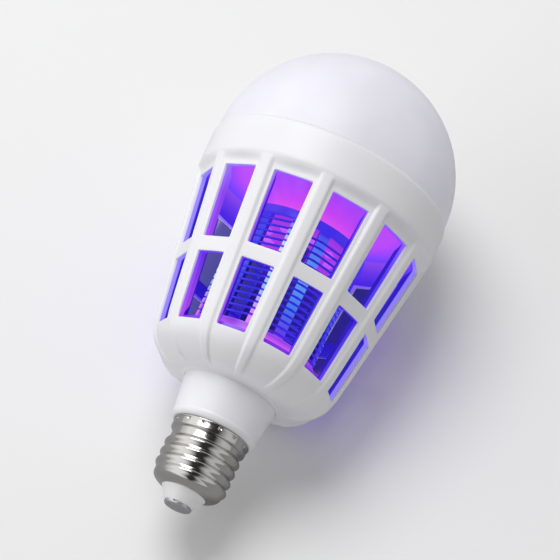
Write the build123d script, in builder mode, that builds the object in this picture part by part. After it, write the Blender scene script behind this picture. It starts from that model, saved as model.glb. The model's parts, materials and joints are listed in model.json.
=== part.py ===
from build123d import *
from math import atan, cos, pi, radians, sin, tan
import os

# An insect killer light bulb on an E27 screw cap.
# The axis of the bulb is Z, the centre contact's tip is at the origin and the dome is at the top.
# Azimuth 0 is the middle of one column of windows.
os.makedirs("parts", exist_ok=True)

# Screw cap of thin plated metal
cap_crest_r = 13.1
cap_bead_r = 1.0
cap_root_r = 12.15
cap_sheet = 0.6
cap_bore_r = cap_root_r - cap_sheet
cap_pitch = 3.629
cap_turns = 3.95
cap_thread_azimuth = -90
cap_lip_z = 5.6
cap_lip_thick = 0.7
cap_hole_r = 7.3
cap_lip_r = cap_hole_r + 0.6
cap_seat_r = cap_hole_r + cap_lip_thick
cap_shoulder_r = cap_root_r - 1.05
cap_shoulder_z = cap_lip_z + 1.4
cap_shoulder_bow = 0.35
cap_root_z = cap_lip_z + 3.2
cap_bore_foot_z = cap_root_z - 0.1
cap_band_r = cap_crest_r + 0.15
cap_band_z = 25.0
cap_band_rise = 0.7
cap_band_bow = 0.22
cap_band_bore_r = cap_band_r - cap_sheet
cap_bore_top_z = cap_band_z - cap_sheet
cap_step_z = cap_band_z + 0.2
cap_rim_flare = 0.35
cap_rim_height = 0.9
cap_rim_z = 28.2
dimple_count = 14
dimple_r = 0.6
dimple_sink = 0.15
dimple_z = cap_rim_z - 1.25
dimple_azimuth = -30.3

# Centre contact and its insulator
contact_r = 4.8
contact_height = 1.2
contact_edge = 0.8
rivet_r = 1.6
rivet_top_z = 10.8
insulator_r = cap_bore_r - 0.95
insulator_foot_r = contact_r + 0.1
insulator_slope_z = cap_lip_z + 1.9
insulator_top_z = 10.0
insulator_step = 0.05
notch_count = 6
notch_length = 1.2
notch_width = 1.8
notch_depth = 0.5

# Neck
neck_foot_z = 12.0
neck_foot_r = cap_band_r + cap_rim_flare + 0.3
neck_edge_r = neck_foot_r + 1.1
neck_edge_z = cap_rim_z + 2.4
neck_edge_bow = 0.4
neck_top_r = 16.7
neck_wall = 2.0
neck_spigot_bore_r = cap_bore_r - neck_wall
flange_z = 46.0
neck_top_z = flange_z - 2.5
neck_collar_r = neck_top_r + 0.2
flange_r = neck_top_r + 5.9
flange_thick = 2.0
flange_top_z = flange_z + flange_thick
standoff_height = 1.0
standoff_top_z = flange_top_z + standoff_height
standoff_r = 2.3
standoff_ring_r = flange_r - 3.8
neck_screw_ring_r = flange_r - 2.6
screw_count = 3
standoff_azimuth = 90
neck_screw_azimuth = 30

# Small screws and leads
screw_r = 1.05
screw_head_r = 1.9
screw_head = 1.1
head_clear = 0.4
screw_clear_r = screw_r + 0.2
screw_bite = 2.0
cage_screw_bite = screw_bite - 1.0
lead_r = 0.45
lead_hole_r = 3.0

# Dome, which the cage's collar is flush with
dome_r = 42.6
dome_wall = 1.6
dome_skirt_gap = 0.1
skirt_wall = 1.5
snap_r = 0.3

# Cage: twelve columns of two windows between ribs, in one moulding with the shoulder and the collar
columns = 12
cage_wall = 2.0
cage_hole_r = neck_collar_r + 0.1
cage_foot_z = flange_z - 2.0
cage_seat_r = flange_r + 0.6
cage_seat_rise = 3.2
cage_seat_top_z = flange_z + 3.4
panel_foot_z = flange_z + 8.3
panel_spread = 9.35
panel_foot_r = flange_r + panel_spread
rib_foot_z = panel_foot_z + 3.2
rib_foot_r = panel_foot_r + 1.65
shoulder_curve = ((0.47, 0.081), (0.843, 0.467))
shoulder_lean = 0.0
collar_z = panel_foot_z + 58.9
collar_foot_r = dome_r + 0.2
collar_step = 0.25
collar_step_height = 0.6
collar_r = dome_r + 0.8
collar_top_r = dome_r - 0.2
collar_wall = 1.0
collar_bore_r = collar_top_r - collar_wall
rim_z = collar_z + 14.1
collar_round_z = rim_z - 1.9
collar_bow = 0.34
ledge_width = 1.9
ledge_r = collar_bore_r - ledge_width
ledge_z = rim_z - 7.7
panel_top_r = collar_foot_r - 1.92
panel_slope = (panel_top_r - panel_foot_r) / (collar_z - panel_foot_z)
rib_width_foot = 2.6
rib_width_top = 3.4
rib_draft = 25
recess_low_z = panel_foot_z - 4.3
recess_depth = 5.0
shoulder_rib_angle = 5.5
shoulder_recess_in = 0.6
shoulder_recess_start = 1.4
shoulder_recess_rise = 0.1
shoulder_recess_drop = 0.5
shoulder_recess_out = 0.4
shoulder_recess_fade = 4.5
lower_window_height = 23.6
upper_window_height = 25.9
lintel_height = 5.2
window_side = 2.1
window_corner = 0.8
window_edge = 0.3
deck_ledge_z = flange_z + 8.5
deck_ledge_width = 3.48
deck_ledge_thick = 2.2

# Dome's seat and skirt
dome_centre_z = rim_z + 2.6
skirt_r = collar_bore_r - dome_skirt_gap
snap_z = rim_z - 2.1

# Deck between the driver and the grid
deck_gap = 0.28
deck_r = panel_foot_r + panel_slope * (deck_ledge_z - panel_foot_z) - cage_wall - deck_gap
deck_thick = 1.8
deck_z = deck_ledge_z
deck_hole_ring_r = 16.0

# Grid: a former with twelve notched supports, and two wires wound on it side by side
grid_wire_r = 0.4
grid_path_r = 21.7
grid_pitch = 4.8
grid_turns = 8
support_azimuth = 4
post_width = 3.8
post_outer_r = grid_path_r - 0.1
fin_width = 1.5
fin_outer_r = grid_path_r + 0.9
support_inner_r = grid_path_r - 2.1
support_sink = 0.5
slot_height = 2 * grid_wire_r + 0.15
former_foot_r = fin_outer_r
former_foot_z = deck_z + deck_thick
former_foot_height = 5.0
former_foot_top_z = former_foot_z + former_foot_height
former_foot_wall = 0.9
former_plate = 1.8
former_skirt = 1.0
former_skirt_wall = 1.2
former_head_r = grid_path_r + 1.3
grid_start_z = former_foot_top_z + 1.3
former_head_z = grid_start_z + grid_pitch * grid_turns + 0.9
former_head_top_z = former_head_z + former_skirt + former_plate
former_head_under_z = former_head_top_z - former_plate + 0.1
tube_wall = 1.0
tube_r = lead_hole_r + tube_wall

# Boards
board_thick = 1.6
driver_r = flange_r + 0.4
uv_board_r = support_inner_r - 1.0
uv_board_bore_r = tube_r + 0.4
uv_led_ring_r = 12.0
uv_led_count = 8
led_size = 3.5
led_width = 2.8
led_height = 0.8

# Reflector, heat plate and white light board
plate_gap = 0.2
reflector_foot_r = 9.5
reflector_wall = 1.4
reflector_r = collar_bore_r - plate_gap
cone_wall = 1.3
cone_top_r = 20.5
cone_top_z = ledge_z - 1.4
cone_bend_r = cone_top_r + 5.0
cone_bow = -0.55
heat_plate_r = collar_bore_r - plate_gap
heat_plate_thick = 1.6
white_board_r = skirt_r - skirt_wall - 1.8
outer_ring_inset = 7.0
outer_ring_count = 12
inner_ring_inset = 23.0
inner_ring_count = 6
plate_screw_inset = 14.5
plate_screw_ring_r = white_board_r - plate_screw_inset
light_lead_shift = 1.6

# Parts on the driver board
bulk_r = 5.0
bulk_height = 16.0
bulk_place = (-6.2, 0)
part_edge = 0.6
choke_r = 4.0
choke_core_r = 3.2
choke_flange = 1.2
choke_core_height = 6.6
choke_place = (4.6, 7.0)
film_size = (5.0, 8.0, 9.0)
film_place = (5.6, -6.4)
resistor_r = 1.6
resistor_height = 8.0
resistor_place = (-3.0, 9.6)
multiplier_count = 4
multiplier_size = (3.0, 6.5, 3.2)
multiplier_ring_r = 11.5
diode_r = 1.3
diode_length = 4.6
diode_ring_r = 7.0
rectifier_size = (4.0, 4.8, 1.6)
rectifier_place = (16.5, 0)
neutral_rise = 1.0
neutral_r = 8.7
neutral_bend = 1.4

top = (Align.CENTER, Align.CENTER, Align.MAX)
base = (Align.CENTER, Align.CENTER, Align.MIN)


def panel_r(z):
    # distance of a window column's flat face from the axis
    return panel_foot_r + panel_slope * (z - panel_foot_z)


def bowed(start, end, bow):
    # arc from start to end in a section, standing out from its chord by bow, to the right of its way
    run = Vector(*end) - Vector(*start)
    middle = (Vector(*start) + Vector(*end)) / 2
    return ThreePointArc(start, middle + Vector(run.Y, -run.X).normalized() * bow, end)


def save(piece, name):
    piece.part.label = name
    export_step(piece.part, f"parts/{name}.step")


# Screw shell: lip, shoulder, knuckle thread, band with crimp dimples and flared rim
with BuildPart() as screw_shell:
    with BuildSketch(Plane.XZ):
        with BuildLine():
            Polyline(
                (cap_bore_r, cap_bore_foot_z),
                (insulator_r, insulator_slope_z),
                (cap_seat_r, cap_lip_z + cap_lip_thick),
                (cap_hole_r, cap_lip_z + cap_lip_thick),
                (cap_hole_r, cap_lip_z),
                (cap_lip_r, cap_lip_z),
                (cap_shoulder_r, cap_shoulder_z),
            )
            bowed((cap_shoulder_r, cap_shoulder_z), (cap_root_r, cap_root_z), cap_shoulder_bow)
            Line((cap_root_r, cap_root_z), (cap_root_r, cap_band_z - cap_band_rise))
            bowed((cap_root_r, cap_band_z - cap_band_rise), (cap_band_r, cap_band_z), cap_band_bow)
            Line((cap_band_r, cap_band_z), (cap_band_r, cap_rim_z - cap_rim_height))
            bowed((cap_band_r, cap_rim_z - cap_rim_height), (cap_band_r, cap_rim_z), cap_rim_flare)
            Polyline(
                (cap_band_r, cap_rim_z),
                (cap_band_bore_r, cap_rim_z),
                (cap_band_bore_r, cap_step_z),
                (cap_bore_r, cap_bore_top_z),
                (cap_bore_r, cap_bore_foot_z),
            )
        make_face()
    revolve(axis=Axis.Z)
    with BuildLine(mode=Mode.PRIVATE) as thread_route:
        Helix(
            pitch=cap_pitch,
            height=cap_pitch * cap_turns,
            radius=cap_crest_r - cap_bead_r,
            center=(0, 0, cap_root_z),
        )
    with BuildSketch(
        Plane(origin=thread_route.line @ 0, z_dir=thread_route.line % 0), mode=Mode.PRIVATE
    ) as thread_section:
        Circle(cap_bead_r)
    thread = sweep(thread_section.sketch, path=thread_route.line, is_frenet=True, mode=Mode.PRIVATE)
    add(thread, rotation=(0, 0, cap_thread_azimuth))
    with Locations((0, 0, cap_bore_foot_z)):
        Cylinder(cap_bore_r, cap_bore_top_z - cap_bore_foot_z, align=base, mode=Mode.SUBTRACT)
    with Locations((0, 0, dimple_z)):
        with PolarLocations(cap_band_r + dimple_sink, dimple_count, start_angle=dimple_azimuth):
            Sphere(dimple_r, mode=Mode.SUBTRACT)
save(screw_shell, "screw_shell")

# Insulator in the open end of the shell
with BuildPart() as base_insulator:
    with BuildSketch(Plane.XZ):
        with BuildLine():
            Polyline(
                (rivet_r, contact_height),
                (insulator_foot_r, contact_height),
                (cap_lip_r - insulator_step, cap_lip_z),
                (cap_hole_r, cap_lip_z),
                (cap_hole_r, cap_lip_z + cap_lip_thick),
                (cap_seat_r, cap_lip_z + cap_lip_thick),
                (insulator_r, insulator_slope_z),
                (insulator_r, insulator_top_z),
                (rivet_r, insulator_top_z),
                close=True,
            )
        make_face()
    revolve(axis=Axis.Z)
save(base_insulator, "base_insulator")

# Centre contact: a rounded button with a rivet stem through the insulator
with BuildPart() as centre_contact:
    with BuildSketch(Plane.XZ):
        with BuildLine():
            Line((0, 0), (contact_r - contact_edge, 0))
            RadiusArc((contact_r - contact_edge, 0), (contact_r, contact_edge), -contact_edge)
            Polyline(
                (contact_r, contact_edge),
                (contact_r, contact_height),
                (rivet_r, contact_height),
                (rivet_r, rivet_top_z),
                (0, rivet_top_z),
                (0, 0),
            )
        make_face()
    revolve(axis=Axis.Z)
    with Locations((0, 0, contact_height)):
        with PolarLocations(contact_r, notch_count, start_angle=dimple_azimuth):
            Box(notch_length, notch_width, notch_depth, align=top, mode=Mode.SUBTRACT)
save(centre_contact, "centre_contact")

# Neck: spigot in the shell, tapered body, flange with standoffs for the driver board
with BuildPart() as neck_housing:
    with BuildSketch(Plane.XZ):
        with BuildLine():
            Polyline(
                (neck_spigot_bore_r, neck_foot_z),
                (cap_bore_r, neck_foot_z),
                (cap_bore_r, cap_bore_top_z),
                (cap_band_bore_r, cap_step_z),
                (cap_band_bore_r, cap_rim_z),
                (neck_foot_r, cap_rim_z),
            )
            bowed((neck_foot_r, cap_rim_z), (neck_edge_r, neck_edge_z), neck_edge_bow)
            Polyline(
                (neck_edge_r, neck_edge_z),
                (neck_top_r, neck_top_z),
                (neck_collar_r, flange_z),
                (flange_r, flange_z),
                (flange_r, flange_top_z),
                (neck_top_r - neck_wall, flange_top_z),
                (neck_top_r - neck_wall, neck_top_z),
                (neck_edge_r - neck_wall, neck_edge_z),
                (neck_spigot_bore_r, cap_bore_top_z),
                (neck_spigot_bore_r, neck_foot_z),
            )
        make_face()
    revolve(axis=Axis.Z)
    with BuildSketch(Plane.XY.offset(flange_top_z)):
        with PolarLocations(standoff_ring_r, screw_count, start_angle=standoff_azimuth):
            Circle(standoff_r)
    extrude(amount=standoff_height)
    with Locations((0, 0, standoff_top_z)):
        with PolarLocations(standoff_ring_r, screw_count, start_angle=standoff_azimuth):
            Cylinder(screw_r, screw_bite, align=top, mode=Mode.SUBTRACT)
    with Locations((0, 0, flange_z)):
        with PolarLocations(neck_screw_ring_r, screw_count, start_angle=neck_screw_azimuth):
            Cylinder(screw_clear_r, flange_thick, align=base, mode=Mode.SUBTRACT)
save(neck_housing, "neck_housing")

# What is taken out of the cage at one column: the flat recess, the recess over the shoulder, two windows
lean = atan(panel_slope)
half_column = tan(pi / columns)


def column_plane(z):
    # plane on a column's flat face at height z, its y along the slope
    return Plane(origin=(panel_r(z), 0, z), x_dir=(0, 1, 0), z_dir=(cos(lean), 0, -sin(lean)))


def rib_width(z):
    # width of a rib's crest at height z
    return rib_width_foot + (rib_width_top - rib_width_foot) * (z - recess_low_z) / (collar_z - recess_low_z)


def panel_half_width(z):
    # half the width of a column's flat face between its two ribs
    return panel_r(z) * half_column - rib_width(z) / 2


def column_outline(low_z, high_z, side):
    # corners of an outline on a column's face, side in from its ribs
    low_half = panel_half_width(low_z) - side
    high_half = panel_half_width(high_z) - side
    slope_length = (high_z - low_z) / cos(lean)
    return [(-low_half, 0), (low_half, 0), (high_half, slope_length), (-high_half, slope_length)]


with BuildPart() as column_recess:
    with BuildSketch(column_plane(recess_low_z)):
        Polygon(*column_outline(recess_low_z, collar_z, 0), align=None)
    extrude(amount=recess_depth, taper=-rib_draft)

shoulder_reach = rib_foot_r - cage_hole_r
shoulder_rise = rib_foot_z - cage_foot_z
shoulder_points = [
    (cage_hole_r + out * shoulder_reach, cage_foot_z + up * shoulder_rise) for out, up in shoulder_curve
]
recess_points = [
    (r - shoulder_recess_in * up, z + shoulder_recess_in * (1 - up))
    for (r, z), (out, up) in zip(shoulder_points, shoulder_curve)
]
recess_foot = (cage_hole_r + shoulder_recess_start, cage_foot_z + shoulder_recess_rise)
recess_top_z = rib_foot_z + shoulder_recess_fade
recess_top = (rib_foot_r + shoulder_recess_out, recess_top_z)
recess_out_r = rib_foot_r + recess_depth
sector = 360 / columns - shoulder_rib_angle
with BuildPart() as shoulder_recess:
    with BuildSketch(Plane.XZ):
        with BuildLine():
            Spline(
                recess_foot,
                *recess_points,
                (rib_foot_r - shoulder_recess_in, rib_foot_z - shoulder_recess_drop),
                recess_top,
            )
            Polyline(
                recess_top,
                (recess_out_r, recess_top_z),
                (recess_out_r, cage_foot_z + shoulder_recess_rise),
                recess_foot,
            )
        make_face()
    revolve(axis=Axis.Z, revolution_arc=sector)

lower_window_top_z = panel_foot_z + lower_window_height
upper_window_foot_z = lower_window_top_z + lintel_height
with BuildPart() as column_windows:
    for low_z, high_z in (
        (panel_foot_z, lower_window_top_z),
        (upper_window_foot_z, upper_window_foot_z + upper_window_height),
    ):
        with BuildSketch(column_plane(low_z).offset(recess_depth)) as window_outline:
            Polygon(*column_outline(low_z, high_z, window_side), align=None)
            fillet(window_outline.vertices(), window_corner)
        extrude(amount=-2 * recess_depth)
        # the window's outer edge is eased
        with BuildSketch(column_plane(low_z).offset(-window_edge)) as window_mouth:
            Polygon(*column_outline(low_z, high_z, window_side), align=None)
            fillet(window_mouth.vertices(), window_corner)
        extrude(amount=window_edge, taper=-45)

# Cage with its shoulder, ribs and collar
deck_ledge_inner_r = panel_r(deck_ledge_z) - cage_wall - deck_ledge_width
with BuildPart() as cage:
    with BuildSketch(Plane.XZ):
        with BuildLine():
            Line((cage_hole_r, flange_z), (cage_hole_r, cage_foot_z))
            Spline(
                (cage_hole_r, cage_foot_z),
                *shoulder_points,
                (rib_foot_r, rib_foot_z),
                tangents=((1, shoulder_lean), (collar_foot_r - rib_foot_r, collar_z - rib_foot_z)),
            )
            Polyline(
                (rib_foot_r, rib_foot_z),
                (collar_foot_r, collar_z),
                (collar_foot_r + collar_step, collar_z + collar_step_height),
                (collar_r, collar_round_z),
            )
            bowed((collar_r, collar_round_z), (collar_top_r, rim_z), collar_bow)
            Polyline(
                (collar_top_r, rim_z),
                (collar_bore_r, rim_z),
                (collar_bore_r, ledge_z),
                (ledge_r, ledge_z),
                (panel_r(collar_z) - cage_wall, collar_z),
                (panel_r(deck_ledge_z) - cage_wall, deck_ledge_z),
                (deck_ledge_inner_r, deck_ledge_z),
                (deck_ledge_inner_r, deck_ledge_z - deck_ledge_thick),
                (cage_seat_r + cage_seat_rise, cage_seat_top_z),
                (cage_seat_r, flange_z),
                (cage_hole_r, flange_z),
            )
        make_face()
    revolve(axis=Axis.Z)
    with PolarLocations(0, columns):
        add(column_recess.part, mode=Mode.SUBTRACT)
        add(column_windows.part, mode=Mode.SUBTRACT)
    with PolarLocations(0, columns, start_angle=-sector / 2):
        add(shoulder_recess.part, mode=Mode.SUBTRACT)
    with Locations((0, 0, flange_z)):
        with PolarLocations(neck_screw_ring_r, screw_count, start_angle=neck_screw_azimuth):
            Cylinder(screw_r, cage_screw_bite, align=top, mode=Mode.SUBTRACT)
    with BuildSketch(Plane.XZ):
        with Locations((collar_bore_r, snap_z)):
            Circle(snap_r)
    revolve(axis=Axis.Z, mode=Mode.SUBTRACT)
save(cage, "cage")

# Screws that hold the neck's flange to the cage
with BuildPart() as neck_screws:
    with Locations((0, 0, flange_top_z)):
        with PolarLocations(neck_screw_ring_r, screw_count, start_angle=neck_screw_azimuth):
            Cylinder(screw_head_r, screw_head, align=base)
            Cylinder(screw_r, flange_thick + cage_screw_bite, align=top)
save(neck_screws, "neck_screws")

# Dome diffuser with a skirt that snaps into the collar
with BuildPart() as dome_diffuser:
    with BuildSketch(Plane.XZ):
        seat_r = (dome_r**2 - (dome_centre_z - rim_z) ** 2) ** 0.5
        inner_r = dome_r - dome_wall
        skirt_in = skirt_r - skirt_wall
        skirt_foot_z = ledge_z + reflector_wall + heat_plate_thick
        inner_low_z = dome_centre_z + skirt_wall
        inner_low_r = (inner_r**2 - skirt_wall**2) ** 0.5
        outer_middle = (dome_r * cos(pi / 4), dome_centre_z + dome_r * sin(pi / 4))
        inner_middle = (inner_r * cos(pi / 4), dome_centre_z + inner_r * sin(pi / 4))
        with BuildLine():
            ThreePointArc((seat_r, rim_z), outer_middle, (0, dome_centre_z + dome_r))
            Line((0, dome_centre_z + dome_r), (0, dome_centre_z + inner_r))
            ThreePointArc((0, dome_centre_z + inner_r), inner_middle, (inner_low_r, inner_low_z))
            Polyline(
                (inner_low_r, inner_low_z),
                (skirt_in, rim_z),
                (skirt_in, skirt_foot_z),
                (skirt_r, skirt_foot_z),
                (skirt_r, rim_z),
                (seat_r, rim_z),
            )
        make_face()
    revolve(axis=Axis.Z)
    with BuildSketch(Plane.XZ):
        with Locations((skirt_r, snap_z)):
            Circle(snap_r)
    revolve(axis=Axis.Z)
save(dome_diffuser, "dome_diffuser")

# Deck under the grid, on the cage's inner ledge
grid_lead_azimuth = support_azimuth - 180 / columns
grid_lead_ring_r = grid_path_r * cos(pi / columns)
with BuildPart() as deck_plate:
    with BuildSketch(Plane.XY.offset(deck_z)):
        Circle(deck_r)
        Circle(lead_hole_r, mode=Mode.SUBTRACT)
        with PolarLocations(grid_lead_ring_r, 2, start_angle=grid_lead_azimuth):
            Circle(lead_r, mode=Mode.SUBTRACT)
        with PolarLocations(deck_hole_ring_r, screw_count, start_angle=neck_screw_azimuth):
            Circle(screw_clear_r, mode=Mode.SUBTRACT)
    extrude(amount=deck_thick)
save(deck_plate, "deck_plate")

# Grid former: hollow foot, twelve supports with a slot at every turn of wire, head with a short skirt
turn_step = grid_pitch / 2
wire_inner_flat = grid_lead_ring_r - grid_wire_r
wire_inner_corner = wire_inner_flat / cos(pi / columns)


def comb_outline(first_slot_z, floor_r, outer_r):
    # outline of one support in its radial plane, with a slot for each turn of the two wires
    foot_z = former_foot_top_z - support_sink
    head_z = former_head_top_z - former_plate / 2
    outline = [(support_inner_r, foot_z), (outer_r, foot_z)]
    for turn in range(2 * grid_turns):
        low = first_slot_z + turn * turn_step - slot_height / 2
        high = low + slot_height
        outline += [(outer_r, low), (floor_r, low), (floor_r, high), (outer_r, high)]
    outline += [(outer_r, head_z), (support_inner_r, head_z)]
    return outline


with BuildPart() as grid_former:
    with BuildSketch(Plane.XZ):
        with BuildLine():
            Polyline(
                (former_foot_r - former_foot_wall, former_foot_z),
                (former_foot_r, former_foot_z),
                (former_foot_r, former_foot_top_z),
                (tube_r, former_foot_top_z),
                (tube_r, former_foot_top_z - former_plate),
                (former_foot_r - former_foot_wall, former_foot_top_z - former_plate),
                close=True,
            )
        make_face()
        with BuildLine():
            Polyline(
                (lead_hole_r, former_head_top_z),
                (former_head_r, former_head_top_z),
                (former_head_r, former_head_z),
                (former_head_r - former_skirt_wall, former_head_z),
                (former_head_r - former_skirt_wall, former_head_under_z),
                (lead_hole_r, former_head_under_z),
                close=True,
            )
        make_face()
    revolve(axis=Axis.Z)
    with Locations((0, 0, former_foot_top_z)):
        with PolarLocations(grid_lead_ring_r, 2, start_angle=grid_lead_azimuth):
            Cylinder(lead_r, former_plate, align=top, mode=Mode.SUBTRACT)
    for index in range(columns):
        turned = radians(support_azimuth + index * 360 / columns)
        radial_plane = Plane(
            origin=(0, 0, 0),
            x_dir=(cos(turned), sin(turned), 0),
            z_dir=(sin(turned), -cos(turned), 0),
        )
        width, outer_r = (post_width, post_outer_r) if index % 2 == 0 else (fin_width, fin_outer_r)
        first_slot_z = grid_start_z + turn_step * ((2 * index / columns) % 1)
        floor_r = wire_inner_corner - width / 2 * half_column
        with BuildSketch(radial_plane):
            with BuildLine():
                Polyline(*comb_outline(first_slot_z, floor_r, outer_r), close=True)
            make_face()
        extrude(amount=width / 2, both=True)
save(grid_former, "grid_former")


# The two high-voltage wires: taut runs between the supports, half a turn apart
def wound_wire(azimuth_shift):
    start = radians(support_azimuth + azimuth_shift)
    corners = []
    for step in range(grid_turns * columns):
        turn = start + 2 * pi * step / columns
        rise = grid_start_z + grid_pitch * step / columns
        corners.append(Vector(grid_path_r * cos(turn), grid_path_r * sin(turn), rise))
    first_run = (corners[1] - corners[0]).length
    back = start - 2 * pi / columns
    before = Vector(
        grid_path_r * cos(back), grid_path_r * sin(back), grid_start_z - grid_pitch / columns
    )
    lead_in = corners[0] + (before - corners[0]) * (0.5 - lead_r / first_run)
    with BuildPart() as winding:
        with BuildLine() as route:
            Polyline(lead_in, *corners)
        with BuildSketch(Plane(origin=route.line @ 0, z_dir=route.line % 0)):
            Circle(grid_wire_r)
        sweep(transition=Transition.RIGHT)
    return winding


grid_wire_live = wound_wire(0)
save(grid_wire_live, "grid_wire_live")
grid_wire_return = wound_wire(180)
save(grid_wire_return, "grid_wire_return")

# Leads from the driver board to the two grid wires
driver_top_z = standoff_top_z + board_thick
with BuildPart() as grid_leads:
    with Locations((0, 0, driver_top_z)):
        with PolarLocations(grid_lead_ring_r, 2, start_angle=grid_lead_azimuth):
            Cylinder(lead_r, grid_start_z + grid_wire_r - driver_top_z, align=base)
save(grid_leads, "grid_leads")

# Tube up the middle of the grid that carries the light board's leads
with BuildPart() as lead_tube:
    with BuildSketch(Plane.XY.offset(former_foot_z)):
        Circle(tube_r)
        Circle(lead_hole_r, mode=Mode.SUBTRACT)
    extrude(amount=former_head_under_z - former_foot_z)
save(lead_tube, "lead_tube")

# Ultraviolet board under the former's head, with its lamps facing down into the grid
with BuildPart() as uv_board:
    with BuildSketch(Plane.XY.offset(former_head_under_z)):
        Circle(uv_board_r)
        Circle(uv_board_bore_r, mode=Mode.SUBTRACT)
    extrude(amount=-board_thick)
save(uv_board, "uv_board")

with BuildPart() as uv_leds:
    with Locations((0, 0, former_head_under_z - board_thick)):
        with PolarLocations(uv_led_ring_r, uv_led_count):
            Box(led_width, led_size, led_height, align=top)
save(uv_leds, "uv_leds")

# Reflector funnel between the grid's head and the collar's ledge
reflector_top_z = ledge_z + reflector_wall
with BuildPart() as reflector:
    with BuildSketch(Plane.XZ):
        with BuildLine():
            Polyline(
                (lead_hole_r, former_head_top_z),
                (reflector_foot_r, former_head_top_z),
                (cone_top_r, cone_top_z),
            )
            bowed((cone_top_r, cone_top_z), (cone_bend_r, ledge_z), cone_bow)
            Polyline(
                (cone_bend_r, ledge_z),
                (reflector_r, ledge_z),
                (reflector_r, reflector_top_z),
                (cone_top_r + reflector_wall, reflector_top_z),
                (cone_top_r - cone_wall, cone_top_z + cone_wall / 2),
                (reflector_foot_r - cone_wall / 2, former_head_top_z + reflector_wall),
                (lead_hole_r, former_head_top_z + reflector_wall),
                (lead_hole_r, former_head_top_z),
            )
        make_face()
    revolve(axis=Axis.Z)
save(reflector, "reflector")

# Aluminium heat plate
with BuildPart() as heat_plate:
    with BuildSketch(Plane.XY.offset(reflector_top_z)):
        Circle(heat_plate_r)
        Circle(lead_hole_r, mode=Mode.SUBTRACT)
        with PolarLocations(plate_screw_ring_r, screw_count):
            Circle(screw_r, mode=Mode.SUBTRACT)
    extrude(amount=heat_plate_thick)
save(heat_plate, "heat_plate")

# White light board, its lamps and its screws
white_board_z = reflector_top_z + heat_plate_thick
white_board_top_z = white_board_z + board_thick
with BuildPart() as white_board:
    with BuildSketch(Plane.XY.offset(white_board_z)):
        Circle(white_board_r)
        with Locations((-light_lead_shift, 0), (light_lead_shift, 0)):
            Circle(lead_r, mode=Mode.SUBTRACT)
        with PolarLocations(plate_screw_ring_r, screw_count):
            Circle(screw_clear_r, mode=Mode.SUBTRACT)
    extrude(amount=board_thick)
save(white_board, "white_board")

with BuildPart() as white_leds:
    with Locations((0, 0, white_board_top_z)):
        with PolarLocations(white_board_r - outer_ring_inset, outer_ring_count):
            Box(led_width, led_size, led_height, align=base)
        with PolarLocations(white_board_r - inner_ring_inset, inner_ring_count):
            Box(led_width, led_size, led_height, align=base)
save(white_leds, "white_leds")

with BuildPart() as plate_screws:
    with Locations((0, 0, white_board_top_z)):
        with PolarLocations(plate_screw_ring_r, screw_count):
            Cylinder(screw_head_r, screw_head, align=base)
            Cylinder(screw_r, board_thick + heat_plate_thick, align=top)
save(plate_screws, "plate_screws")

# Driver board on the neck's standoffs, and its screws
with BuildPart() as driver_board:
    with BuildSketch(Plane.XY.offset(standoff_top_z)):
        Circle(driver_r)
        with PolarLocations(standoff_ring_r, screw_count, start_angle=standoff_azimuth):
            Circle(screw_clear_r, mode=Mode.SUBTRACT)
        with PolarLocations(neck_screw_ring_r, screw_count, start_angle=neck_screw_azimuth):
            Circle(screw_head_r + head_clear, mode=Mode.SUBTRACT)
    extrude(amount=board_thick)
save(driver_board, "driver_board")

with BuildPart() as board_screws:
    with Locations((0, 0, driver_top_z)):
        with PolarLocations(standoff_ring_r, screw_count, start_angle=standoff_azimuth):
            Cylinder(screw_head_r, screw_head, align=base)
            Cylinder(screw_r, board_thick + screw_bite, align=top)
save(board_screws, "board_screws")

# Tall parts that hang from the driver board into the neck
with BuildPart() as bulk_capacitor:
    with Locations((*bulk_place, standoff_top_z)):
        Cylinder(bulk_r, bulk_height, align=top)
    fillet(bulk_capacitor.edges().filter_by(GeomType.CIRCLE), part_edge)
save(bulk_capacitor, "bulk_capacitor")

with BuildPart() as filter_choke:
    with Locations((*choke_place, standoff_top_z)):
        Cylinder(choke_r, choke_flange, align=top)
        Cylinder(choke_core_r, choke_core_height + choke_flange, align=top)
    with Locations((*choke_place, standoff_top_z - choke_core_height - choke_flange)):
        Cylinder(choke_r, choke_flange, align=top)
save(filter_choke, "filter_choke")

with BuildPart() as film_capacitor:
    with Locations((*film_place, standoff_top_z)):
        Box(*film_size, align=top)
    fillet(film_capacitor.edges().filter_by(Axis.Z), part_edge)
save(film_capacitor, "film_capacitor")

with BuildPart() as fuse_resistor:
    with Locations((*resistor_place, standoff_top_z)):
        Cylinder(resistor_r, resistor_height, align=top)
save(fuse_resistor, "fuse_resistor")

# Voltage multiplier and rectifier on top of the driver board
with BuildPart() as multiplier_capacitors:
    with Locations((0, 0, driver_top_z)):
        with PolarLocations(multiplier_ring_r, multiplier_count, start_angle=180 / multiplier_count):
            Box(*multiplier_size, align=base)
save(multiplier_capacitors, "multiplier_capacitors")

with BuildPart() as multiplier_diodes:
    with Locations((0, 0, driver_top_z + diode_r)):
        with PolarLocations(diode_ring_r, multiplier_count):
            Cylinder(diode_r, diode_length, rotation=(0, 90, 0))
save(multiplier_diodes, "multiplier_diodes")

with BuildPart() as rectifier:
    with Locations((*rectifier_place, driver_top_z)):
        Box(*rectifier_size, align=base)
save(rectifier, "rectifier")

# Leads inside: live from the contact, neutral from the shell, and a pair up to the white light board
with BuildPart() as live_lead:
    with Locations((0, 0, rivet_top_z)):
        Cylinder(lead_r, standoff_top_z - rivet_top_z, align=base)
save(live_lead, "live_lead")

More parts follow.
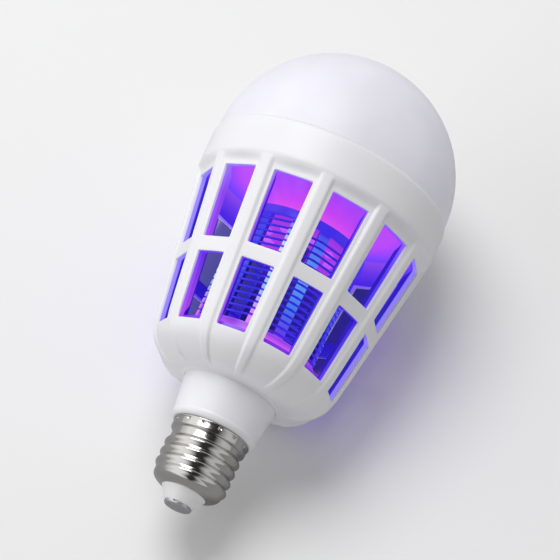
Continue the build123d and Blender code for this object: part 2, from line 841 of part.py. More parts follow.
neutral_z = insulator_top_z + neutral_rise
with BuildPart() as neutral_lead:
    with BuildLine() as neutral_route:
        FilletPolyline(
            (cap_bore_r - 0.01, 0, neutral_z),
            (neutral_r, 0, neutral_z),
            (neutral_r, 0, standoff_top_z),
            radius=neutral_bend,
        )
    with BuildSketch(
        Plane(origin=neutral_route.line @ 0, z_dir=neutral_route.line % 0)
    ):
        Circle(lead_r)
    sweep()
save(neutral_lead, "neutral_lead")

with BuildPart() as light_leads:
    with Locations((-light_lead_shift, 0, driver_top_z), (light_lead_shift, 0, driver_top_z)):
        Cylinder(lead_r, white_board_top_z - driver_top_z, align=base)
save(light_leads, "light_leads")
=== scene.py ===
import json
import math

import bmesh
import bpy
from mathutils import Matrix, Vector


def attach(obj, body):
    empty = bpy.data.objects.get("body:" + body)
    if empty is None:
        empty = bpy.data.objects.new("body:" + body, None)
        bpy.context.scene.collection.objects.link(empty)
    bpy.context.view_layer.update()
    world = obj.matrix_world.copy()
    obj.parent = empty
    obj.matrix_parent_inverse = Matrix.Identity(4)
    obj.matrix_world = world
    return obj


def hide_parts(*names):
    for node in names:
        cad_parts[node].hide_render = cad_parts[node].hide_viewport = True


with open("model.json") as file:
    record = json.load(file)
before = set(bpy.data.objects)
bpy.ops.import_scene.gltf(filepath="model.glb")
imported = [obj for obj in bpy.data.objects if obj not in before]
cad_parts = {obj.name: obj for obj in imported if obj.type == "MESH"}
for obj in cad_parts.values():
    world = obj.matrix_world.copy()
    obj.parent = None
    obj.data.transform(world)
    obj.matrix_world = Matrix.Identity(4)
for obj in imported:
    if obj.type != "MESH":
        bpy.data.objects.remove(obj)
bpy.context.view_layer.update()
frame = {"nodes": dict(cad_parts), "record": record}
nodes = frame["nodes"]
mm = 0.001
scene = bpy.context.scene
print("frame loaded:", len(nodes), "nodes")

# Where the camera stands, and which way its right, up and back point, fitted to the photograph
view = {
    "place": (0.93165, -0.22171, -0.26505),
    "right": (0.35157, 0.84691, 0.39892),
    "up": (0.20653, -0.48579, 0.84933),
    "back": (0.91310, -0.21621, -0.34570),
    "sensor": 36.0,
    "lens": 193.51,
    "near": 0.01,
    "far": 50,
    "target": (0.0, 0.0, 0.088),  # middle of the bulb
}
table = {
    "normal": (0.8814, -0.4429, 0.1635),  # the bulb lies on its ribs and collar
    "level": -0.0240,
    "size": 12.0,
    "grey": 0.86,
    "mirrored": 0.38,  # how glossy faces see the table, as if it ended just behind the bulb
    "roughness": 0.6,
    "specular": 0.2,
    # painted shadow and light: where and how the patch under the bulb is painted on the table
    "glowMiddle": (0.0090, 0.1010),  # to the side and up the bulb
    "glowHalf": (0.0305, 0.0280),  # half its width and half its length
    "glowPower": 4.0,  # 2 makes the glow round, more makes it squarer
    "glowEdge": 2.2,  # higher makes a softer edge
    "paintedShadowBase": (44, 38, 88),
    "glow": (38, 26, 168),
    "glowShare": 0.95,
    "glowStrength": 0.5,
}
studio = {
    "fill": 0.39,
    "background": 0.84,
    "reach": 1.30,
    # the way to each light as shares of right, up and towards the camera, then its size and power, and
    # whether glossy faces show it
    "lights": {
        "keySoftbox": ((-0.12, 0.82, 0.53), 0.90, 10.2, True),
        "sideSoftbox": ((-0.90, 0.10, 0.40), 1.20, 4.4, False),
    },
    "stripStops": (  # studio walls round the bulb's axis: azimuth in degrees, brightness
        (-180, 0.50), (-165, 0.30), (-140, 0.10), (-128, 0.16), (-119, 0.70), (-104, 0.85),
        (-88, 1.25), (-58, 1.20), (-40, 0.60), (-28, 0.04), (4, 0.02), (16, 0.40),
        (34, 0.75), (80, 0.60), (120, 0.40), (150, 0.40), (180, 0.50),
    ),
}


# a display colour, 0 to 255, as the linear colour that a shader takes
def linear(red, green, blue):
    parts = [channel / 255 for channel in (red, green, blue)]
    return tuple(p / 12.92 if p <= 0.04045 else ((p + 0.055) / 1.055) ** 2.4 for p in parts) + (1.0,)


def grey(tone):
    return (tone, tone, tone, 1)


def addCamera():
    camera = bpy.data.cameras.new("photoCamera")
    camera.sensor_width = view["sensor"]
    camera.lens = view["lens"]
    camera.clip_start = view["near"]
    camera.clip_end = view["far"]
    cameraObject = bpy.data.objects.new("photoCamera", camera)
    scene.collection.objects.link(cameraObject)
    turn = Matrix((view["right"], view["up"], view["back"])).transposed()
    cameraObject.matrix_world = Matrix.Translation(view["place"]) @ turn.to_4x4()
    scene.camera = cameraObject


# a round soft light at the studio's reach, on the way that the shares give, facing the bulb
def addLight(name, shares, size, power, shiny):
    way = Vector((0, 0, 0))
    for share, axis in zip(shares, ("right", "up", "back")):
        way += share * Vector(view[axis])
    lamp = bpy.data.lights.new(name, "AREA")
    lamp.shape = "DISK"
    lamp.size = size
    lamp.energy = power
    lampObject = bpy.data.objects.new(name, lamp)
    lampObject.visible_glossy = shiny
    scene.collection.objects.link(lampObject)
    spot = Vector(view["target"]) + way.normalized() * studio["reach"]
    lampObject.matrix_world = Matrix.Translation(spot) @ way.to_track_quat("Z", "Y").to_matrix().to_4x4()


# studio walls: upright strips for glossy rays, an even fill for the rest, a pale background for the camera
def addWorld():
    world = bpy.data.worlds.new("studioWalls")
    scene.world = world
    world.use_nodes = True
    tree = world.node_tree
    tree.nodes.clear()
    make = tree.nodes.new
    split = make("ShaderNodeSeparateXYZ")
    tree.links.new(make("ShaderNodeTexCoord").outputs["Generated"], split.inputs["Vector"])
    share = make("ShaderNodeMapRange")
    share.inputs["From Min"].default_value = -math.pi
    share.inputs["From Max"].default_value = math.pi
    tree.links.new(maths(tree, "ARCTAN2", split.outputs["Y"], split.outputs["X"]), share.inputs["Value"])
    strips = make("ShaderNodeValToRGB")
    placed = [((azimuth + 180) / 360, grey(tone)) for azimuth, tone in studio["stripStops"]]
    fillRamp(strips.color_ramp, placed)
    tree.links.new(share.outputs["Result"], strips.inputs["Fac"])
    rays = make("ShaderNodeLightPath")
    light = colourMix(tree, rays.outputs["Is Glossy Ray"], grey(studio["fill"]), strips.outputs["Color"])
    seen = colourMix(tree, rays.outputs["Is Camera Ray"], light, grey(studio["background"]))
    background = make("ShaderNodeBackground")
    tree.links.new(seen, background.inputs["Color"])
    tree.links.new(background.outputs["Background"], make("ShaderNodeOutputWorld").inputs["Surface"])


# gives a colour ramp its stops, each a position from 0 to 1 and a colour
def fillRamp(ramp, stops):
    while len(ramp.elements) > 1:
        ramp.elements.remove(ramp.elements[-1])
    ramp.elements[0].position, ramp.elements[0].color = stops[0]
    for position, colour in stops[1:]:
        ramp.elements.new(position).color = colour


# share of the way from low to high of a value, eased at both ends
def softShare(tree, value, low, high):
    share = tree.nodes.new("ShaderNodeMapRange")
    share.interpolation_type = "SMOOTHSTEP"
    share.inputs["From Min"].default_value = low
    share.inputs["From Max"].default_value = high
    tree.links.new(value, share.inputs["Value"])
    return share.outputs["Result"]


# painted shadow and painted light: a soft dark violet patch painted on the table just under the bulb,
# standing in for the shade there and the violet light that falls through the windows, soft at its edge;
# only the camera sees it
def addLitPatch(tree, shader):
    (sideMiddle, heightMiddle), (halfWidth, halfHeight) = table["glowMiddle"], table["glowHalf"]
    x, y, z = objectAxes(tree)
    normal = Vector(table["normal"]).normalized()
    side = normal.cross(Vector((0, 0, 1))).normalized()
    across = maths(tree, "MULTIPLY_ADD", x, side.x, maths(tree, "MULTIPLY", y, side.y))
    far = []
    for value, middle, half in ((across, sideMiddle, halfWidth), (z, heightMiddle, halfHeight)):
        off = maths(tree, "DIVIDE", maths(tree, "SUBTRACT", value, middle), half)
        far.append(maths(tree, "POWER", maths(tree, "ABSOLUTE", off), table["glowPower"]))
    patch = softShare(tree, maths(tree, "ADD", *far), table["glowEdge"], 1.0)
    patch = maths(tree, "MULTIPLY", patch, table["glowShare"])
    rays = tree.nodes.new("ShaderNodeLightPath")
    patch = maths(tree, "MULTIPLY", patch, rays.outputs["Is Camera Ray"])
    pale = colourMix(tree, rays.outputs["Is Glossy Ray"], grey(table["grey"]), grey(table["mirrored"]))
    tree.links.new(colourMix(tree, patch, pale, linear(*table["paintedShadowBase"])), shader.inputs["Base Color"])
    addGlow(tree, shader, colourMix(tree, patch, grey(0), linear(*table["glow"])), table["glowStrength"])


# the pale table, clear from below so that every other view still sees the bulb
def addTable():
    bm = bmesh.new()
    bmesh.ops.create_grid(bm, x_segments=1, y_segments=1, size=table["size"] / 2)
    normal = Vector(table["normal"]).normalized()
    turn = normal.to_track_quat("Z", "Y").to_matrix().to_4x4()
    bmesh.ops.transform(bm, matrix=Matrix.Translation(normal * table["level"]) @ turn, verts=bm.verts)
    mesh = bpy.data.meshes.new("tableTop")
    bm.to_mesh(mesh)
    bm.free()
    tableTop = bpy.data.objects.new("tableTop", mesh)
    scene.collection.objects.link(tableTop)
    material = bpy.data.materials.new("paleTable")
    material.use_nodes = True
    tree = material.node_tree
    shader = tree.nodes["Principled BSDF"]
    addLitPatch(tree, shader)
    shader.inputs["Roughness"].default_value = table["roughness"]
    shader.inputs["Specular IOR Level"].default_value = table["specular"]
    clear = tree.nodes.new("ShaderNodeBsdfTransparent")
    geometry = tree.nodes.new("ShaderNodeNewGeometry")
    mix = tree.nodes.new("ShaderNodeMixShader")
    tree.links.new(geometry.outputs["Backfacing"], mix.inputs["Fac"])
    tree.links.new(shader.outputs["BSDF"], mix.inputs[1])
    tree.links.new(clear.outputs["BSDF"], mix.inputs[2])
    tree.links.new(mix.outputs["Shader"], tree.nodes["Material Output"].inputs["Surface"])
    mesh.materials.append(material)


# Nodes and node groups that several materials use
def maths(tree, operation, *values):
    node = tree.nodes.new("ShaderNodeMath")
    node.operation = operation
    for index, value in enumerate(values):
        if isinstance(value, (int, float)):
            node.inputs[index].default_value = value
        else:
            tree.links.new(value, node.inputs[index])
    return node.outputs["Value"]


def objectPlace(tree):
    return tree.nodes.new("ShaderNodeTexCoord").outputs["Object"]


def objectAxes(tree):
    split = tree.nodes.new("ShaderNodeSeparateXYZ")
    tree.links.new(objectPlace(tree), split.inputs["Vector"])
    return [split.outputs[axis] for axis in "XYZ"]


# distance from the bulb's axis
def axisDistance(tree, x, y):
    squares = maths(tree, "ADD", maths(tree, "MULTIPLY", x, x), maths(tree, "MULTIPLY", y, y))
    return maths(tree, "SQRT", squares)


def newGroup(name, inputs, outputs):
    group = bpy.data.node_groups.new(name, "ShaderNodeTree")
    for label, value in inputs:
        socket = group.interface.new_socket(name=label, in_out="INPUT", socket_type="NodeSocketFloat")
        socket.default_value = value
    for label in outputs:
        group.interface.new_socket(name=label, in_out="OUTPUT", socket_type="NodeSocketFloat")
    entry = group.nodes.new("NodeGroupInput")
    leave = group.nodes.new("NodeGroupOutput")
    return group, entry, leave


# ends a group with how far a value is on its way from the Low input to the High input, from 0 to 1
def endWithShare(group, entry, leave, value):
    share = group.nodes.new("ShaderNodeMapRange")
    group.links.new(value, share.inputs["Value"])
    group.links.new(entry.outputs["Low"], share.inputs["From Min"])
    group.links.new(entry.outputs["High"], share.inputs["From Max"])
    group.links.new(share.outputs["Result"], leave.inputs["Share"])
    return group


# fine unevenness of a moulded surface: a height for bump and a slow mottle
def skinGroup():
    inputs = [("Scale", 900.0), ("Mottle Scale", 45.0)]
    group, entry, leave = newGroup("mouldedSkin", inputs, ["Height", "Mottle"])
    coordinates = objectPlace(group)
    for source, target, detail in (("Scale", "Height", 3), ("Mottle Scale", "Mottle", 2)):
        noise = group.nodes.new("ShaderNodeTexNoise")
        noise.inputs["Detail"].default_value = detail
        group.links.new(coordinates, noise.inputs["Vector"])
        group.links.new(entry.outputs[source], noise.inputs["Scale"])
        group.links.new(noise.outputs["Fac"], leave.inputs[target])
    return group


# how far up the bulb a point is, in metres
def heightGroup():
    group, entry, leave = newGroup("heightShare", [("Low", 0.0), ("High", 0.17)], ["Share"])
    return endWithShare(group, entry, leave, objectAxes(group)[2])


# how far out from the bulb's axis a point is, in metres
def ringGroup():
    group, entry, leave = newGroup("ringShare", [("Low", 0.0), ("High", 0.04)], ["Share"])
    x, y, _ = objectAxes(group)
    return endWithShare(group, entry, leave, axisDistance(group, x, y))


# how near a point's azimuth is to the way (Cos, Sin), as the cosine of the angle between them
def sideGroup():
    inputs = [("Cos", 1.0), ("Sin", 0.0), ("Low", 0.0), ("High", 1.0)]
    group, entry, leave = newGroup("sideShare", inputs, ["Share"])
    x, y, _ = objectAxes(group)
    sideways = maths(group, "MULTIPLY", y, entry.outputs["Sin"])
    along = maths(group, "MULTIPLY_ADD", x, entry.outputs["Cos"], sideways)
    return endWithShare(group, entry, leave, maths(group, "DIVIDE", along, axisDistance(group, x, y)))


# 1 inside the cage's wall and 0 on its outside, beginning Start behind the windows' face and full Wall
# further in; 0 below the windows and above the ceiling
def depthGroup():
    inputs = [("Foot Radius", 0.0319), ("Foot Height", 0.0543), ("Head Height", 0.1205), ("Slope", 0.1516),
              ("Start", 0.0011), ("Wall", 0.0009)]
    group, entry, leave = newGroup("wallDepth", inputs, ["Inside"])
    footMargin = 0.0002
    x, y, z = objectAxes(group)
    footRadius, footHeight, headHeight, slope, start, wall = (entry.outputs[label] for label, _ in inputs)
    rise = maths(group, "SUBTRACT", z, footHeight)
    face = maths(group, "ADD", footRadius, maths(group, "MULTIPLY", rise, slope))
    depth = maths(group, "SUBTRACT", maths(group, "SUBTRACT", face, axisDistance(group, x, y)), start)
    clamp = group.nodes.new("ShaderNodeClamp")
    group.links.new(maths(group, "DIVIDE", depth, wall), clamp.inputs["Value"])
    above = maths(group, "GREATER_THAN", z, maths(group, "SUBTRACT", footHeight, footMargin))
    between = maths(group, "MULTIPLY", above, maths(group, "LESS_THAN", z, headHeight))
    group.links.new(maths(group, "MULTIPLY", clamp.outputs["Result"], between), leave.inputs["Inside"])
    return group


groups = {
    "skin": skinGroup(),
    "height": heightGroup(),
    "depth": depthGroup(),
    "ring": ringGroup(),
    "side": sideGroup(),
}


# sets a group in a material, with values for its inputs
def place(tree, name, **values):
    node = tree.nodes.new("ShaderNodeGroup")
    node.node_tree = groups[name]
    for label, value in values.items():
        node.inputs[label.replace("_", " ")].default_value = value
    return node


# share of the way from the first to the second of two radii or heights, in metres
def shareBetween(tree, name, limits):
    return place(tree, name, Low=limits[0], High=limits[1]).outputs["Share"]


# share of a material that lies towards an azimuth, fading from inner to outer degrees away from it
def sideShare(tree, azimuth, inner, outer):
    turn = math.radians(azimuth)
    low, high = math.cos(math.radians(outer)), math.cos(math.radians(inner))
    return place(tree, "side", Cos=math.cos(turn), Sin=math.sin(turn), Low=low, High=high).outputs["Share"]


# a material with its tree and shader
def newMaterial(name, roughness, metallic=0.0, specular=0.5):
    material = bpy.data.materials.new(name)
    material.use_nodes = True
    tree = material.node_tree
    shader = tree.nodes["Principled BSDF"]
    shader.inputs["Roughness"].default_value = roughness
    shader.inputs["Metallic"].default_value = metallic
    shader.inputs["Specular IOR Level"].default_value = specular
    return material, tree, shader


# first where the factor is 0 and second where it is 1, each a colour or a socket
def colourMix(tree, factor, first, second):
    mix = tree.nodes.new("ShaderNodeMix")
    mix.data_type = "RGBA"
    tree.links.new(factor, mix.inputs["Factor"])
    for socket, value in (("A", first), ("B", second)):
        if isinstance(value, tuple):
            mix.inputs[socket].default_value = value
        else:
            tree.links.new(value, mix.inputs[socket])
    return mix.outputs["Result"]


# makes a shader glow in a colour that comes from a socket
def addGlow(tree, shader, colour, strength):
    tree.links.new(colour, shader.inputs["Emission Color"])
    shader.inputs["Emission Strength"].default_value = strength


addCamera()
for name, settings in studio["lights"].items():
    addLight(name, *settings)
addWorld()
addTable()
scene.view_settings.view_transform = "Standard"
print("studio set")


# fine bump, and a slow mottle of the colour between two tones
def addSkin(tree, shader, bump, scale=900.0, colour=None, shift=None):
    bumpDistance = 0.0002
    skin = place(tree, "skin", Scale=scale)
    bumpNode = tree.nodes.new("ShaderNodeBump")
    bumpNode.inputs["Strength"].default_value = bump
    bumpNode.inputs["Distance"].default_value = bumpDistance
    tree.links.new(skin.outputs["Height"], bumpNode.inputs["Height"])
    tree.links.new(bumpNode.outputs["Normal"], shader.inputs["Normal"])
    if colour:
        mottled = colourMix(tree, skin.outputs["Mottle"], linear(*colour), linear(*shift))
        tree.links.new(mottled, shader.inputs["Base Color"])
    return skin


# colours up the bulb's height, from low to high in millimetres
def glowRamp(tree, low, high, stops):
    ramp = tree.nodes.new("ShaderNodeValToRGB")
    placed = [((height - low) / (high - low), linear(*colour)) for height, colour in stops]
    fillRamp(ramp.color_ramp, placed)
    tree.links.new(shareBetween(tree, "height", (low * mm, high * mm)), ramp.inputs["Fac"])
    return ramp.outputs["Color"]


def plastic(name, tone, shade, roughness, bump=0.05):
    material, tree, shader = newMaterial(name, roughness)
    addSkin(tree, shader, bump, colour=tone, shift=shade)
    return material


# plastic that glows in colours that change with the height, between low and high in millimetres; on all but
# the UV lamps this glow is painted light
def glowPlastic(name, base, low, high, stops, strength, roughness=0.35):
    shadeShare = 0.92
    material, tree, shader = newMaterial(name, roughness)
    addSkin(tree, shader, 0.04, colour=base, shift=[channel * shadeShare for channel in base])
    addGlow(tree, shader, glowRamp(tree, low, high, stops), strength)
    return material


def metal(name, tone, shade, roughness, bump=0.1):
    material, tree, shader = newMaterial(name, roughness, metallic=1.0)
    addSkin(tree, shader, bump, scale=1800.0, colour=tone, shift=shade)
    return material


# cage: white outside; inside, painted shade and painted violet light: the jambs of its windows and its
# inner wall are painted dark and glow violet, brighter on the jambs and wall on one side, with a painted
# rim light on jambs seen edge on
def cageMaterial():
    finish = {
        "outer": (240, 240, 243),
        "outerShade": (236, 236, 240),
        # painted shade: the inner wall painted dark navy and the jambs dark violet
        "inner": (14, 8, 70),
        "jambShadeBase": (90, 60, 180),
        "roughness": 0.38,
        "specular": 0.35,
        "bump": 0.05,
        "jambDepth": (0.0001, 0.0003),  # metres behind the face where a colour starts, and its fade
        "wallDepth": (0.0014, 0.0004),
        # painted light: the sides where jambs and wall glow brighter, and where jambs seen edge on get a
        # painted rim light
        # azimuths with the degrees to either side where a side is full and where it ends
        "brightJambs": (-75, 55, 85),
        "brightWall": (-72, 10, 20),
        "edgeOnFrom": (-13.3, 60, 76),  # the photo's camera stands at azimuth -13.3
        "edgeOnTo": (-13.3, 92, 100),
        "heights": (46, 119),
        # painted light on the jambs up the height, lighter on the left jambs than on the right
        "jambLeft": (
            (46, (170, 70, 240)), (58, (178, 76, 240)), (78, (110, 52, 236)), (84, (165, 74, 240)),
            (100, (150, 76, 246)), (109, (160, 120, 250)), (119, (120, 100, 220)),
        ),
        "jambRight": (
            (46, (120, 50, 220)), (60, (60, 34, 200)), (78, (46, 24, 190)), (84, (50, 30, 196)),
            (98, (72, 42, 222)), (109, (140, 100, 246)), (119, (120, 100, 220)),
        ),
        "edgeOn": (150, 136, 236),
        "wallGlow": (
            (46, (60, 20, 180)), (57, (50, 20, 190)), (66, (34, 16, 176)), (78, (44, 22, 206)),
            (84, (36, 20, 184)), (93, (36, 22, 186)), (99, (44, 26, 200)), (106, (52, 30, 212)),
            (111, (78, 44, 238)), (115, (112, 60, 246)), (119, (150, 78, 244)),
        ),
        "glow": 0.8,
    }
    material, tree, shader = newMaterial("glossWhiteCage", finish["roughness"], specular=finish["specular"])
    skin = addSkin(tree, shader, finish["bump"])
    outer, outerShade, inner, jambShadeBase, edgeOn = (
        linear(*finish[part]) for part in ("outer", "outerShade", "inner", "jambShadeBase", "edgeOn")
    )
    jamb, inside = (
        place(tree, "depth", Start=finish[part][0], Wall=finish[part][1]).outputs["Inside"]
        for part in ("jambDepth", "wallDepth")
    )
    deep = colourMix(tree, inside, jambShadeBase, inner)
    outside = colourMix(tree, skin.outputs["Mottle"], outer, outerShade)
    tree.links.new(colourMix(tree, jamb, outside, deep), shader.inputs["Base Color"])
    jambRight, jambLeft, wallGlow = (
        glowRamp(tree, *finish["heights"], finish[part]) for part in ("jambRight", "jambLeft", "wallGlow")
    )
    brightJambs, brightWall, edgeOnFrom, edgeOnTo = (
        sideShare(tree, *finish[part]) for part in ("brightJambs", "brightWall", "edgeOnFrom", "edgeOnTo")
    )
    rim = maths(tree, "MULTIPLY", maths(tree, "SUBTRACT", 1.0, edgeOnFrom), edgeOnTo)
    jambGlow = colourMix(tree, rim, colourMix(tree, brightJambs, jambRight, jambLeft), edgeOn)
    deepGlow = colourMix(tree, brightWall, wallGlow, jambLeft)
    glow = colourMix(tree, inside, jambGlow, deepGlow)
    addGlow(tree, shader, colourMix(tree, jamb, grey(0), glow), finish["glow"])
    return material


# grid former: painted shade and painted light: painted dark inside, glowing violet-blue on the outer faces
# of its posts, brighter on the posts near one side, with painted white highlights at the ends of its fins
def formerMaterial():
    finish = {
        # painted shade: the former painted dark navy under its painted glow
        "base": (16, 12, 70),
        "roughness": 0.4,
        "bump": 0.04,
        "heights": (56, 105),
        "inner": (
            (56, (70, 20, 170)), (62, (24, 12, 112)), (84, (20, 12, 116)), (99, (60, 30, 190)),
            (105, (80, 48, 236)),
        ),
        "outer": (
            (56, (120, 50, 230)), (58.8, (235, 95, 250)), (61, (130, 60, 245)), (64, (96, 70, 245)),
            (72, (70, 124, 250)), (84, (104, 168, 255)), (94, (88, 128, 250)), (100.5, (80, 84, 240)),
            (101.2, (64, 46, 236)), (105, (70, 50, 238)),
        ),
        # painted shade: the dimmer glow of the posts away from the bright side
        "dim": (
            (56, (110, 44, 226)), (59, (190, 76, 240)), (62, (86, 50, 236)), (70, (66, 56, 226)),
            (84, (74, 84, 240)), (94, (66, 70, 236)), (101, (70, 48, 236)), (105, (96, 60, 240)),
        ),
        # painted highlights at the ends of the fins
        "tip": (
            (56, (225, 95, 245)), (66, (214, 120, 245)), (74, (150, 190, 255)), (90, (206, 220, 255)),
            (100, (110, 110, 245)),
        ),
        # painted light: posts near this azimuth glow brighter than the rest
        "brightPosts": (2, 16, 34),  # azimuth, full to so many degrees from it, none from so many
        "faceRing": (0.0209, 0.0214),  # metres from the axis
        "tipRing": (0.0219, 0.0224),
        "tipFoot": (0.0608, 0.0616),  # metres above the contact's tip
        "tipHead": (0.1000, 0.1008),
        "glow": 0.85,
    }
    material, tree, shader = newMaterial("litFormer", finish["roughness"])
    addSkin(tree, shader, finish["bump"], colour=finish["base"], shift=finish["base"])
    inner, outer, dim, tip = (
        glowRamp(tree, *finish["heights"], finish[part]) for part in ("inner", "outer", "dim", "tip")
    )
    face, end = (shareBetween(tree, "ring", finish[part]) for part in ("faceRing", "tipRing"))
    foot, head = (shareBetween(tree, "height", finish[part]) for part in ("tipFoot", "tipHead"))
    outer = colourMix(tree, sideShare(tree, *finish["brightPosts"]), dim, outer)
    end = maths(tree, "MULTIPLY", end, maths(tree, "MULTIPLY", foot, maths(tree, "SUBTRACT", 1.0, head)))
    glow = colourMix(tree, end, colourMix(tree, face, inner, outer), tip)
    addGlow(tree, shader, glow, finish["glow"])
    return material


# nickel plate of the screw shell, a little duller in patches
def shellMaterial():
    finish = {
        "plate": (208, 206, 203),
        "dull": (190, 188, 184),
        "roughness": 0.15,
        "wear": 0.1,
        "bump": 0.02,
        "grain": 1400.0,
    }
    material, tree, shader = newMaterial("nickelPlate", finish["roughness"], metallic=1.0)
    skin = addSkin(tree, shader, finish["bump"], finish["grain"], finish["plate"], finish["dull"])
    smoothest = finish["roughness"] - finish["wear"] / 2
    rough = maths(tree, "MULTIPLY_ADD", skin.outputs["Mottle"], finish["wear"], smoothest)
    tree.links.new(rough, shader.inputs["Roughness"])
    return material


# painted light: the metal wire painted violet-blue and made to glow, standing in for the UV lamps' light on
# it
def wireMaterial():
    finish = {
        "tone": (70, 66, 190),
        "shade": (54, 50, 160),
        "roughness": 0.42,
        "heights": (60, 102),
        "lit": (
            (60, (80, 36, 210)), (70, (52, 46, 200)), (84, (50, 46, 200)), (94, (44, 34, 178)),
            (102, (56, 38, 196)),
        ),
        "glow": 0.75,
    }
    material = metal("drawnWire", finish["tone"], finish["shade"], finish["roughness"])
    tree = material.node_tree
    colours = glowRamp(tree, *finish["heights"], finish["lit"])
    addGlow(tree, tree.nodes["Principled BSDF"], colours, finish["glow"])
    return material


# funnel over the grid: painted light, a pink glow on the cone and a violet glow out on the ceiling, over a
# base painted dark violet
def funnelMaterial():
    finish = {
        "base": (70, 30, 130),
        "heights": (104, 120),
        "cone": (
            (104.4, (150, 50, 215)), (106.0, (232, 84, 236)), (109, (236, 84, 232)),
            (112, (206, 70, 240)), (115, (184, 66, 246)), (117.5, (170, 70, 246)), (119, (196, 78, 242)),
        ),
        "ceiling": (104, 66, 250),
        "ceilingRing": (0.0290, 0.0385),  # metres from the axis
        "glow": 0.85,
    }
    material = glowPlastic("litFunnel", finish["base"], *finish["heights"], finish["cone"], finish["glow"])
    tree = material.node_tree
    socket = tree.nodes["Principled BSDF"].inputs["Emission Color"]
    outward = shareBetween(tree, "ring", finish["ceilingRing"])
    glow = colourMix(tree, outward, socket.links[0].from_socket, linear(*finish["ceiling"]))
    tree.links.new(glow, socket)
    return material


# colours that the plastics glow in at their heights in millimetres: painted light standing in for light
# that falls on them, except on the UV lamps' own faces, which are lamps
lit = {
    "dome": ((100, (236, 234, 255)), (172, (236, 234, 255))),
    "deck": ((54, (90, 30, 220)), (57, (150, 50, 235))),
    "tube": ((56, (30, 8, 110)), (104, (60, 30, 190))),
    "uvBoard": ((100, (196, 70, 240)), (104, (150, 60, 240))),
    "uvLamp": ((100, (204, 84, 240)), (104, (204, 84, 240))),
}
materials = {
    "shell_metal": shellMaterial(),
    "insulator": plastic("whiteInsulator", (238, 238, 238), (232, 232, 233), 0.38),
    "contact_metal": metal("tinnedContact", (214, 214, 216), (190, 190, 192), 0.42, 0.3),
    "neck_plastic": plastic("satinWhiteNeck", (240, 240, 244), (236, 236, 241), 0.32),
    "cage_plastic": cageMaterial(),
    # painted shade and light: the deck, tube sleeve and UV board are painted dark and glow, and the dome's
    # faint glow is painted light
    "dome_plastic": glowPlastic("milkyDome", (238, 237, 246), 100, 172, lit["dome"], 0.06, 0.5),
    "deck_plastic": glowPlastic("litDeck", (50, 20, 110), 54, 57, lit["deck"], 0.8),
    "former_plastic": formerMaterial(),
    "wire_metal": wireMaterial(),
    "tube_plastic": glowPlastic("tubeSleeve", (14, 8, 60), 56, 104, lit["tube"], 0.6),
    "uv_board_face": glowPlastic("uvBoardFace", (60, 24, 110), 100, 104, lit["uvBoard"], 0.75),
    "uv_lamp": glowPlastic("uvLampFace", (200, 170, 255), 100, 104, lit["uvLamp"], 0.8),
    "reflector_plastic": funnelMaterial(),
    "heat_plate_metal": metal("milledAluminium", (200, 200, 202), (180, 180, 183), 0.35),
    "white_board_face": plastic("whiteBoardFace", (235, 235, 232), (228, 228, 226), 0.4),
    "white_lamp": plastic("phosphorLamp", (240, 222, 120), (232, 210, 100), 0.3),
    "screw_steel": metal("screwSteel", (170, 170, 174), (145, 145, 150), 0.3),
    "driver_board_face": plastic("greenBoardFace", (34, 104, 62), (28, 92, 54), 0.35, 0.15),
    "capacitor_sleeve": plastic("capacitorSleeve", (40, 40, 46), (34, 34, 40), 0.3),
    "choke_body": plastic("chokeWinding", (150, 82, 40), (120, 62, 30), 0.35, 0.6),
    "film_capacitor_body": plastic("dippedCapacitor", (170, 60, 44), (152, 50, 38), 0.25),
    "resistor_body": plastic("resistorLacquer", (96, 150, 166), (84, 136, 152), 0.4),
    "black_package": plastic("blackPackage", (38, 38, 38), (30, 30, 30), 0.5),
    "lead_sleeve": plastic("leadSleeve", (176, 40, 34), (160, 34, 30), 0.42),
}
slotOf = {row["node"]: row["material_slot"] for row in frame["record"]["subparts"]}
for name, node in nodes.items():
    node.data.materials.clear()
    node.data.materials.append(materials[slotOf[name]])
print("materials made:", len(materials))


# turns a bmesh in millimetres into a piece of the bulb, with edges sharper than an angle kept sharp
def finishPiece(bm, name, slot, replaced, smoothAngle):
    weldDistance = 1e-7
    bmesh.ops.scale(bm, vec=(mm, mm, mm), verts=bm.verts)
    bmesh.ops.remove_doubles(bm, verts=bm.verts, dist=weldDistance)
    bmesh.ops.recalc_face_normals(bm, faces=bm.faces)
    for face in bm.faces:
        face.smooth = True
    mesh = bpy.data.meshes.new(name)
    bm.to_mesh(mesh)
    bm.free()
    mesh.materials.append(materials[slot])
    piece = bpy.data.objects.new(name, mesh)
    scene.collection.objects.link(piece)
    mesh.set_sharp_from_angle(angle=math.radians(smoothAngle))
    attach(piece, "root")
    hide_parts(*replaced)


# spins a profile of (radius, height) points once round the bulb's axis
def spinProfile(bm, points, count):
    verts = [bm.verts.new((radius, 0, height)) for radius, height in points]
    edges = [bm.edges.new(pair) for pair in zip(verts, verts[1:])]
    bmesh.ops.spin(
        bm, geom=verts + edges, cent=(0, 0, 0), axis=(0, 0, 1), dvec=(0, 0, 0),
        angle=math.tau, steps=count, use_merge=True,
    )


